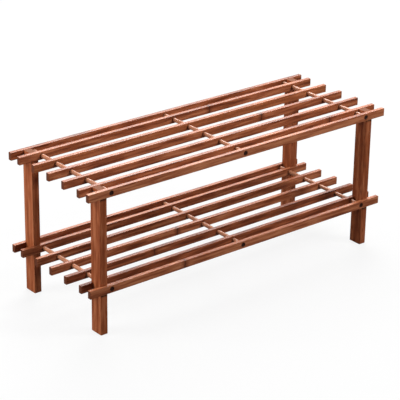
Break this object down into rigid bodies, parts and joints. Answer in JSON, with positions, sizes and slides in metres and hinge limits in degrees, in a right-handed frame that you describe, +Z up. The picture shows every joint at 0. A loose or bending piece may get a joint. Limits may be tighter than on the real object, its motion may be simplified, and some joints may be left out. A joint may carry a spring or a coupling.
{
  "type": "slatted bench with shoe shelf",
  "caption": "Low entryway bench of stained bamboo: a slatted seat over a slatted shoe shelf, both threaded on round rods and carried by notched legs.",
  "frame": {"origin": "on the floor, under the middle of the bench", "axes": "+X along the slats to the bench's right as seen from the front, +Y to the back, +Z up"},
  "size_m": [0.75, 0.265, 0.3],
  "materials": {
    "slats": "satin, carbonised bamboo, fibres along the slat",
    "rods": "satin, turned bamboo, a little lighter than the slats",
    "legs": "satin, laminated carbonised bamboo, fibres up the leg"
  },
  "bodies": {
    "root": {"seat_slat_1": "slats", "seat_slat_2": "slats", "seat_slat_3": "slats", "seat_slat_4": "slats", "seat_slat_5": "slats", "seat_slat_6": "slats", "seat_slat_7": "slats", "seat_rod_left": "rods", "seat_rod_centre": "rods", "seat_rod_right": "rods", "shelf_slat_1": "slats", "shelf_slat_2": "slats", "shelf_slat_3": "slats", "shelf_slat_4": "slats", "shelf_slat_5": "slats", "shelf_slat_6": "slats", "shelf_slat_7": "slats", "shelf_rod_left": "rods", "shelf_rod_centre": "rods", "shelf_rod_right": "rods", "leg_back_left": "legs", "leg_back_right": "legs", "leg_front_left": "legs", "leg_front_right": "legs"}
  },
  "joints": []
}
